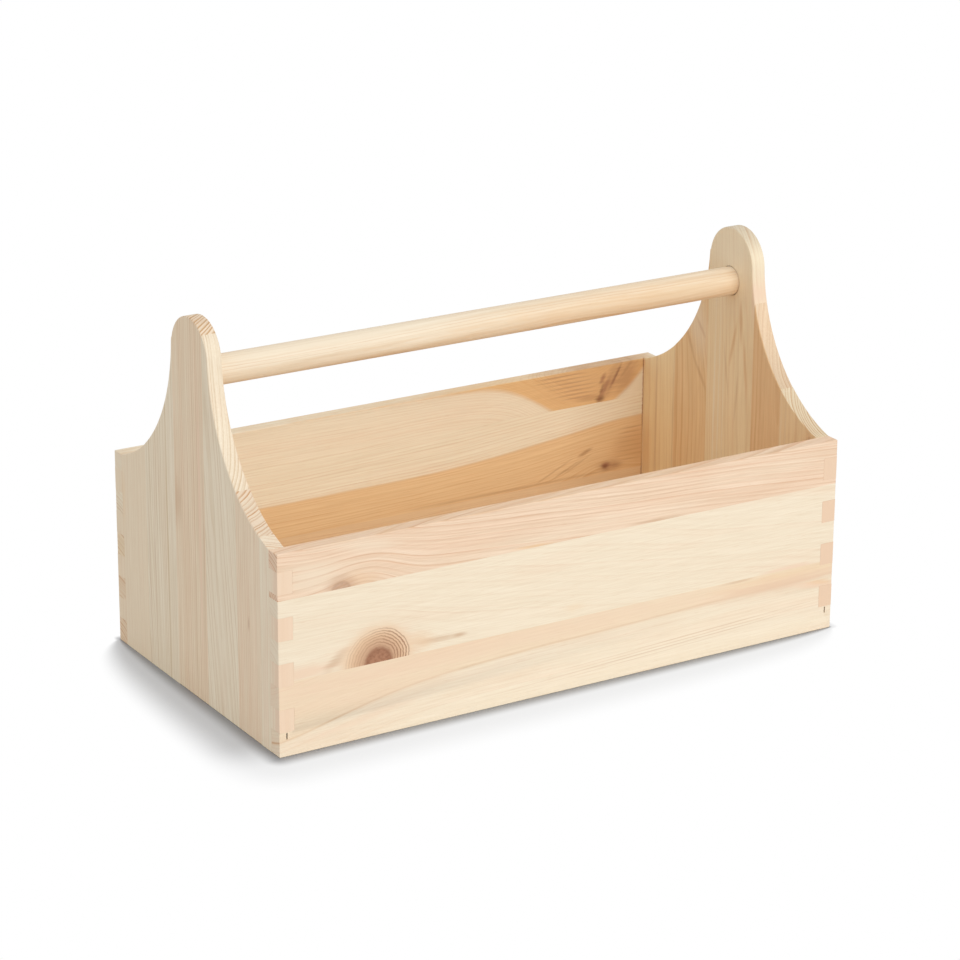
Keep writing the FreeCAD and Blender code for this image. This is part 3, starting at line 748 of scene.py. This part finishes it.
def pine(name, timber, axes, settings):
    """Material of one board, from how it was sawn and the marks that it carries."""
    material, tree = new_material(name)
    coordinates = tree.add("ShaderNodeTexCoord").outputs
    metres = tree.separate(coordinates["Object"])
    point = tree.combine(*[metres[axis] for axis in axes]) * PER_MM
    facing = tree.separate(tree.vector("ABSOLUTE", coordinates["Normal"]))
    along, across, through = (facing[axis] for axis in axes)
    end = tree.ramp(along, 0.3, 0.9)
    edge = tree.ramp(across, 0.3, 0.9)
    boldness = edge * timber.edge_contrast + (end * timber.end_contrast + 1.0)

    def placed(kind, mark, **others):
        """What a mark's group gives, at the mark's place on the board."""
        return tree.wire("ShaderNodeGroup", node_tree=group(kind), Point=point,
                         Place=(mark.along, mark.across, mark.through),
                         Half_size=(mark.half_length, mark.half_height, mark.half_depth),
                         Tilt=-math.radians(mark.tilt), **others)

    lift = 0.0
    for mark in timber.marks:
        if isinstance(mark, Swell):
            lift = placed("Ring swell", mark, Lift=mark.lift, Before=lift)
    sawn = {label: getattr(timber, label.lower().replace(" ", "_")) for label in SAWN}
    shades = {label: tinted(getattr(settings, label.lower()), timber.tint) for label in SHADES}
    wood = tree.add("ShaderNodeGroup", node_tree=group("Solid pine"), Point=point, End=end,
                    Face=tree.ramp(through, 0.2, 0.7), Boldness=boldness, Pith=(0, *timber.pith),
                    Lean=(0, *timber.lean), Lift=lift, Blush_share=timber.blush,
                    Latewood=tinted(settings.latewood, timber.line_tint), **sawn, **shades).outputs
    colour = wood["Colour"]
    for mark in timber.marks:
        if isinstance(mark, Streak):
            colour = placed("Streak", mark, Wood=colour, Stain=getattr(settings, mark.colour),
                            Strength=mark.strength)
        elif isinstance(mark, Knot):
            colour = placed("Knot", mark, Wood=colour, Ring_wood=settings.knot, Core=settings.knot_core,
                            Bark=settings.bark, Rings=mark.rings, Core_size=mark.core,
                            Core_shift=mark.core_shift / mark.half_length, Strength=mark.strength)
    colour = tree.mix(end, colour, tinted(settings.end_grain, [timber.end_shade] * 3), "MULTIPLY")
    bump = tree.wire("ShaderNodeBump", Strength=1.0, Distance=settings.relief, Height=wood["Height"])
    smoothest = settings.roughness - 0.08
    roughness = tree.ramp(wood["Height"], 0.0, 1.0, settings.roughness + 0.06, smoothest)
    shader = tree.wire("ShaderNodeBsdfPrincipled", Base_Color=colour, Roughness=roughness, Normal=bump,
                       IOR=PINE_IOR, Specular_IOR_Level=PINE_GLOSS)
    tree.add("ShaderNodeOutputMaterial", Surface=shader)
    return material


# ---------------- boards

WELD = 0.005 * MM  # corners nearer than this are one corner
FLAT = math.radians(0.2)  # faces that bend less than this are one face
SHARP = math.radians(30)  # edges that bend more than this are arrises
TOUCH = 0.03 * MM  # pieces nearer than this touch
STAPLE_REACH = 1.5 * MM  # edges nearer than this to a staple are left alone
SOCKET_REACH = 1.0 * MM  # edges nearer than this to the handle are its socket's
BEVEL_WEIGHT = "bevel_weight_edge"


def add_object(name, data):
    """New object in the scene."""
    thing = bpy.data.objects.new(name, data)
    bpy.context.scene.collection.objects.link(thing)
    return thing


def panel_of(node):
    """Panel that a stave belongs to, or the node itself."""
    return next((panel for panel in PANELS if node.startswith(panel)), node)


def surface(mesh):
    """Search tree of a mesh's surface, for finding what a board touches."""
    corners = [vertex.co.copy() for vertex in mesh.vertices]
    return BVHTree.FromPolygons(corners, [tuple(face.vertices) for face in mesh.polygons])


SURFACES = {name: surface(thing.data) for name, thing in frame["nodes"].items()}


def gap_to(node, point):
    """Distance from a point to a node's surface."""
    return SURFACES[node].find_nearest(point)[3]


def edge_width(node, edge, settings):
    """How wide an edge is eased: not at a glue line, finely in a joint, fully where it is open."""
    middle = (edge.verts[0].co + edge.verts[1].co) / 2
    if gap_to("corner_staples", middle) < STAPLE_REACH:
        return 0
    is_end = "_end_" in node
    if is_end and gap_to("handle_rod", middle) < SOCKET_REACH:
        return settings.socket_edge
    panel = panel_of(node)
    touching = [other for other in frame["nodes"] if other != node and gap_to(other, middle) < TOUCH]
    if any(panel_of(other) == panel for other in touching):
        return 0
    if touching:
        return settings.joint_line
    return settings.crown_arris if is_end and middle.z > WALL_TOP else settings.wall_arris


def eased_board(node, material, settings):
    """Merged copy of a board with eased arrises, which stands for its CAD node."""
    shape = bmesh.new()
    shape.from_mesh(frame["nodes"][node].data)
    bmesh.ops.remove_doubles(shape, verts=shape.verts, dist=WELD)
    for side in (-END_INSIDE, END_INSIDE):
        everything = [*shape.verts, *shape.edges, *shape.faces]
        bmesh.ops.bisect_plane(shape, geom=everything, plane_co=(side, 0, 0), plane_no=(1, 0, 0), dist=WELD)
    bmesh.ops.dissolve_limit(shape, angle_limit=FLAT, verts=shape.verts, edges=shape.edges)
    widest = max(settings.wall_arris, settings.crown_arris)
    weight = shape.edges.layers.float.new(BEVEL_WEIGHT)
    for edge in shape.edges:
        if len(edge.link_faces) == 2 and edge.is_convex and edge.calc_face_angle() > SHARP:
            edge[weight] = edge_width(node, edge, settings) / widest
    mesh = bpy.data.meshes.new(node + "_wood")
    shape.to_mesh(mesh)
    shape.free()
    mesh.materials.append(material)
    mesh.shade_smooth()
    mesh.set_sharp_from_angle(angle=SHARP)
    board = add_object(node + "_wood", mesh)
    bevel = board.modifiers.new("Eased arrises", "BEVEL")
    bevel.limit_method = "WEIGHT"
    bevel.offset_type = "OFFSET"
    bevel.width = widest
    bevel.segments = settings.steps
    bevel.use_clamp_overlap = True
    bevel.harden_normals = True
    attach(board, BODY_OF[node])
    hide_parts(node)


def dress(timbers, axes, scene):
    """Makes the boards of one panel with their own material each."""
    for node, timber in timbers.items():
        material = pine(node + "_pine", timber, axes, scene.tote_pine)
        eased_board(node, material, scene.tote_edges)


# ---------------- handle and staples

GEOMETRY = {"Geometry": "NodeSocketGeometry"}
BAR_LENGTHS = 24  # facets from end to end of the handle
DRAWN_WIRE = (6000, 300, 6000)  # how finely the wire's streaks change for each metre along X, Y and Z
WIRE_SHADE = (0.6, 0.58, 0.56)  # tint of a streak


def make_plain_mesh(name, tree, values, body):
    """Runs a geometry tree on an empty mesh and keeps what it makes as a plain mesh object."""
    thing = add_object(name, bpy.data.meshes.new(name + "_start"))
    modifier = thing.modifiers.new(name, "NODES")
    modifier.node_group = tree
    for item in tree.interface.items_tree:
        if item.item_type == "SOCKET" and item.in_out == "INPUT":
            modifier[item.identifier] = values[item.name]
    graph = bpy.context.evaluated_depsgraph_get()
    mesh = bpy.data.meshes.new_from_object(thing.evaluated_get(graph), depsgraph=graph)
    thing.modifiers.remove(modifier)
    thing.data = mesh
    mesh.name = name
    mesh.shade_smooth()
    mesh.set_sharp_from_angle(angle=SHARP)
    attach(thing, body)
    return thing


def finish_tree(tree, geometry, material, output):
    """Ends a geometry tree in Realize Instances and Set Material."""
    real = tree.wire("GeometryNodeRealizeInstances", Geometry=geometry)
    tree.fill(output, Geometry=tree.wire("GeometryNodeSetMaterial", Geometry=real, Material=material))
    return tree.tree


def handle_tree():
    """Round bar: a cylinder, each end drawn out and drawn in by the chamfer, laid along X."""
    tree, inputs, output = new_group(
        "Turned handle",
        {"Length": 0.4, "Diameter": 0.02, "Chamfer": 0.001, "Height": 0.2, "Sides": 96, "Material": None},
        GEOMETRY, "GeometryNodeTree")
    radius, chamfer = inputs["Diameter"] / 2.0, inputs["Chamfer"]
    bar = tree.add("GeometryNodeMeshCylinder", fill_type="NGON", Vertices=inputs["Sides"],
                   Side_Segments=BAR_LENGTHS, Radius=radius, Depth=chamfer * -2.0 + inputs["Length"]).outputs
    drawn = bar["Mesh"]
    for end in ("Top", "Bottom"):
        longer = tree.add("GeometryNodeExtrudeMesh", mode="FACES", Mesh=drawn, Selection=bar[end],
                          Offset_Scale=chamfer).outputs
        drawn = tree.wire("GeometryNodeScaleElements", domain="FACE", Geometry=longer["Mesh"],
                          Selection=longer["Top"], Scale=(radius - chamfer) / radius)
    laid = tree.wire("GeometryNodeTransform", Geometry=drawn, Rotation=(0, math.pi / 2, 0),
                     Translation=tree.combine(0.0, 0.0, inputs["Height"]))
    return finish_tree(tree, laid, inputs["Material"], output)


def staple_tree():
    """Four staples: a bent square wire on each corner point, driven inwards from the wall's face."""
    tree, inputs, output = new_group(
        "Driven staples",
        {"Wire": 0.001, "Crown": 0.004, "Length": 0.018, "Half length": 0.2, "Half width": 0.1,
         "Height": 0.013, "Bend": 0.0004, "Material": None},
        GEOMETRY, "GeometryNodeTree")
    thickness, length = inputs["Wire"], inputs["Length"]
    outside = thickness / 2.0
    top = inputs["Crown"] / 2.0 - outside
    low = top * -1.0
    corners = [tree.combine(0.0, inwards, height) for inwards, height in (
        (length, top), (outside, top), (outside, low), (length, low))]
    chosen = tree.add("GeometryNodeIndexSwitch", data_type="VECTOR")
    while len(chosen.index_switch_items) < len(corners):
        chosen.index_switch_items.new()
    for socket, value in zip(chosen.inputs, (tree.wire("GeometryNodeInputIndex"), *corners)):
        tree.feed(socket, value)
    path = tree.wire("GeometryNodeMeshLine", Count=len(corners))
    bent = tree.wire("GeometryNodeSetPosition", Geometry=path, Position=chosen.outputs[0])
    curve = tree.wire("GeometryNodeMeshToCurve", Mesh=bent)
    rounded = tree.wire("GeometryNodeFilletCurve", Curve=curve, Radius=inputs["Bend"])
    section = tree.wire("GeometryNodeCurvePrimitiveQuadrilateral", Width=thickness, Height=thickness)
    staple = tree.wire("GeometryNodeCurveToMesh", Curve=rounded, Profile_Curve=section, Fill_Caps=True)
    grid = tree.wire("GeometryNodeMeshGrid", Size_X=inputs["Half length"] * 2.0,
                     Size_Y=inputs["Half width"] * 2.0, Vertices_X=2, Vertices_Y=2)
    raised = tree.wire("GeometryNodeTransform", Geometry=grid,
                       Translation=tree.combine(0.0, 0.0, inputs["Height"]))
    corner = tree.separate(tree.wire("GeometryNodeInputPosition"))
    half_turn = tree.math("GREATER_THAN", corner["Y"], 0.0) * math.pi
    placed = tree.wire("GeometryNodeInstanceOnPoints", Points=raised, Instance=staple,
                       Rotation=tree.combine(0.0, 0.0, half_turn))
    return finish_tree(tree, placed, inputs["Material"], output)


def steel(settings):
    """Dull drawn wire with a fine lengthwise streak."""
    material, tree = new_material("staple_steel")
    drawn = tree.noise(tree.wire("ShaderNodeTexCoord", output="Object") * DRAWN_WIRE, detail=3.0)
    colour = tree.mix(drawn, settings.steel, tinted(settings.steel, WIRE_SHADE))
    roughest = settings.roughness + 0.15
    roughness = tree.ramp(drawn, 0.0, 1.0, settings.roughness - 0.1, roughest)
    shader = tree.wire("ShaderNodeBsdfPrincipled", Base_Color=colour, Roughness=roughness, Metallic=1.0)
    tree.add("ShaderNodeOutputMaterial", Surface=shader)
    return material


# ---------------- stage

SENSOR_WIDTH = 36
FARTHEST = 50  # distance at which the camera stops seeing
FLOOR_HALF = 6.0
FLOOR_ROUGHNESS = 0.35
FLOOR_GLOSS = 0.2
# Behind the tote, distance counts this many times over, so that the floor is white sooner.
FAR_HASTE = 8
# So it does beside a far corner: by the fade over the way to the corner, which is never less than the rim.
CORNER_FADE = 25 * MM
CORNER_RIM = 2 * MM
# How much of the shadow is the dark line at the foot and not the wide one, in front and along the side.
FRONT_SHARE = 0.8
SIDE_SHARE = 0.36
LAMP_PLACE = Vector((0.5, -2.8, 1.6))
LAMP_AIM = Vector((0, 0, 0.1))
LAMP_SIZE = (1.8, 1.4)


def place_camera(settings):
    """Camera on its ray from the target, turned by its roll."""
    azimuth, elevation = settings.azimuth, settings.elevation
    back = Vector((math.sin(azimuth) * math.cos(elevation), -math.cos(azimuth) * math.cos(elevation),
                   math.sin(elevation)))
    right = (-back).cross(Vector((0, 0, 1))).normalized()
    up = right.cross(-back)
    axes = Matrix((right, up, back)).transposed() @ Matrix.Rotation(settings.roll, 3, "Z")
    camera = add_object("camera", bpy.data.cameras.new("camera"))
    place = Vector(settings.target) + back * settings.distance
    camera.matrix_world = Matrix.Translation(place) @ axes.to_4x4()
    camera.data.lens = settings.lens
    camera.data.sensor_width = SENSOR_WIDTH
    camera.data.clip_end = FARTHEST
    bpy.context.scene.camera = camera


def seen_directly(tree):
    """1 where the camera, a mirror or a glass looks, and 0 for the light that falls on things."""
    path = tree.add("ShaderNodeLightPath").outputs
    seen = tree.math("MAXIMUM", path["Is Camera Ray"], path["Is Glossy Ray"])
    return tree.math("MAXIMUM", seen, path["Is Transmission Ray"])


def make_world(settings):
    """Even sky that lights the tote, and white where it is looked at."""
    world = bpy.data.worlds.new("studio")
    world.use_nodes = True
    world.node_tree.nodes.clear()
    bpy.context.scene.world = world
    tree = Tree(world.node_tree)
    strength = tree.mix_number(seen_directly(tree), settings.sky, 1.0)
    background = tree.wire("ShaderNodeBackground", Color=WHITE, Strength=strength)
    tree.add("ShaderNodeOutputWorld", Surface=background)


def shadow_fade(tree, settings):
    """How white the floor turns: by distance from the tote, and sooner towards its far corners."""
    near, far = (dict(zip("XYZ", corner)) for corner in CAD_BOX)
    place = tree.separate(tree.wire("ShaderNodeTexCoord", output="Object"))
    outside = []
    for axis, other in (("X", "Y"), ("Y", "X")):
        to_corner = tree.math("MAXIMUM", far[other] - place[other], 0.0) + CORNER_RIM
        before = (near[axis] - place[axis]) * (tree.math("DIVIDE", CORNER_FADE, to_corner) + 1.0)
        behind = (place[axis] - far[axis]) * FAR_HASTE
        outside.append(tree.math("MAXIMUM", tree.math("MAXIMUM", before, behind), 0.0))
    away = tree.vector("LENGTH", tree.combine(*outside, 0.0))
    contact = tree.ramp(away, 0.0, settings.contact_reach)
    shadow = tree.ramp(away, settings.contact_reach, settings.shadow_reach)
    share = tree.ramp(place["Y"], 1.1 * near["Y"], 0.7 * near["Y"], FRONT_SHARE, SIDE_SHARE)
    return tree.mix_number(share, shadow, contact)


def make_floor(settings):
    """Plain pale floor that shows the shadow near the tote and turns white away from it."""
    mesh = bpy.data.meshes.new("floor")
    corners = [(x * FLOOR_HALF, y * FLOOR_HALF, 0) for x, y in ((-1, -1), (1, -1), (1, 1), (-1, 1))]
    mesh.from_pydata(corners, [], [range(len(corners))])
    material, tree = new_material("floor_paper")
    seen = seen_directly(tree)
    paper = tree.wire("ShaderNodeBsdfPrincipled", Base_Color=tree.mix(seen, settings.floor, settings.shadow),
                      Roughness=FLOOR_ROUGHNESS, Specular_IOR_Level=FLOOR_GLOSS)
    white = tree.wire("ShaderNodeEmission", Color=WHITE, Strength=1.0)
    shader = tree.wire("ShaderNodeMixShader", shadow_fade(tree, settings) * seen, paper, white)
    tree.add("ShaderNodeOutputMaterial", Surface=shader)
    mesh.materials.append(material)
    add_object("floor", mesh)


def make_lamp(settings):
    """Large soft light in front of the tote."""
    light = bpy.data.lights.new("key_light", "AREA")
    light.shape = "RECTANGLE"
    light.size, light.size_y = LAMP_SIZE
    light.energy = settings.key
    lamp = add_object("key_light", light)
    lamp.location = LAMP_PLACE
    lamp.rotation_euler = (LAMP_AIM - LAMP_PLACE).to_track_quat("-Z", "Y").to_euler()


# ---------------- operators


class ToteOperator:
    """What the tote's operators share."""
    bl_options = {"REGISTER", "UNDO"}


class TOTE_OT_stage(ToteOperator, bpy.types.Operator):
    """Set up the camera, the floor and the light"""
    bl_idname = "tote.stage"
    bl_label = "Stage"

    def execute(self, context):
        settings = context.scene.tote_stage
        context.scene.view_settings.view_transform = "Standard"
        place_camera(settings)
        make_world(settings)
        make_floor(settings)
        make_lamp(settings)
        return {"FINISHED"}


class TOTE_OT_front_wall(ToteOperator, bpy.types.Operator):
    """Make the three staves of the front wall"""
    bl_idname = "tote.front_wall"
    bl_label = "Front wall"

    def execute(self, context):
        dress(FRONT_WALL, WALL_AXES, context.scene)
        return {"FINISHED"}


class TOTE_OT_back_wall(ToteOperator, bpy.types.Operator):
    """Make the three staves of the back wall"""
    bl_idname = "tote.back_wall"
    bl_label = "Back wall"

    def execute(self, context):
        dress(BACK_WALL, WALL_AXES, context.scene)
        return {"FINISHED"}


class TOTE_OT_left_end(ToteOperator, bpy.types.Operator):
    """Make the six staves of the left end"""
    bl_idname = "tote.left_end"
    bl_label = "Left end"

    def execute(self, context):
        dress(LEFT_END, END_AXES, context.scene)
        return {"FINISHED"}


class TOTE_OT_right_end(ToteOperator, bpy.types.Operator):
    """Make the five staves of the right end"""
    bl_idname = "tote.right_end"
    bl_label = "Right end"

    def execute(self, context):
        dress(RIGHT_END, END_AXES, context.scene)
        return {"FINISHED"}


class TOTE_OT_bottom(ToteOperator, bpy.types.Operator):
    """Make the thin bottom that lies in the groove"""
    bl_idname = "tote.bottom"
    bl_label = "Bottom"

    def execute(self, context):
        dress({"bottom_panel": BOTTOM}, BOTTOM_AXES, context.scene)
        return {"FINISHED"}


class TOTE_OT_handle(ToteOperator, bpy.types.Operator):
    """Turn the round handle"""
    bl_idname = "tote.handle"
    bl_label = "Handle"

    def execute(self, context):
        sizes = context.scene.tote_handle
        material = pine("handle_pine_wood", HANDLE, WALL_AXES, context.scene.tote_pine)
        values = {"Length": sizes.length, "Diameter": sizes.diameter, "Chamfer": sizes.chamfer,
                  "Height": sizes.height, "Sides": sizes.sides, "Material": material}
        handle = make_plain_mesh("handle_bar", handle_tree(), values, BODY_OF["handle_rod"])
        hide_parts("handle_rod")
        return {"FINISHED"}


class TOTE_OT_staples(ToteOperator, bpy.types.Operator):
    """Bend the staples and drive them into the corners"""
    bl_idname = "tote.staples"
    bl_label = "Corner staples"

    def execute(self, context):
        sizes = context.scene.tote_staples
        values = {"Wire": sizes.wire, "Crown": STAPLES_HIGH.z - STAPLES_LOW.z, "Length": sizes.length,
                  "Half length": STAPLES_HIGH.x - sizes.wire / 2, "Half width": STAPLES_HIGH.y,
                  "Height": (STAPLES_LOW.z + STAPLES_HIGH.z) / 2, "Bend": sizes.wire / 2,
                  "Material": steel(sizes)}
        staples = make_plain_mesh("staple_wires", staple_tree(), values, BODY_OF["corner_staples"])
        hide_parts("corner_staples")
        return {"FINISHED"}


OPERATORS = (TOTE_OT_stage, TOTE_OT_front_wall, TOTE_OT_back_wall, TOTE_OT_left_end, TOTE_OT_right_end,
             TOTE_OT_bottom, TOTE_OT_handle, TOTE_OT_staples)


class TOTE_PT_panel(bpy.types.Panel):
    """Lists the steps that make the tote, and its sizes and colours"""
    bl_idname = "TOTE_PT_panel"
    bl_label = "Pine Tool Tote"
    bl_space_type = "VIEW_3D"
    bl_region_type = "UI"
    bl_category = "Tote"

    def draw(self, context):
        for operator in OPERATORS:
            self.layout.operator(operator.bl_idname)
        for name in SETTINGS:
            box = self.layout.box()
            settings = getattr(context.scene, name)
            for prop in type(settings).__annotations__:
                box.prop(settings, prop)


CLASSES = (*SETTINGS.values(), *OPERATORS, TOTE_PT_panel)


def register():
    """Adds the classes and hangs the settings on the scene."""
    for cls in CLASSES:
        bpy.utils.register_class(cls)
    for name, group_class in SETTINGS.items():
        setattr(bpy.types.Scene, name, PointerProperty(type=group_class))


def unregister():
    """Takes the settings and the classes away again."""
    for name in SETTINGS:
        delattr(bpy.types.Scene, name)
    for cls in reversed(CLASSES):
        bpy.utils.unregister_class(cls)


def main():
    """Makes the whole tote."""
    register()
    for operator in OPERATORS:
        area, name = operator.bl_idname.split(".")
        getattr(getattr(bpy.ops, area), name)()


if __name__ == "__main__":
    main()
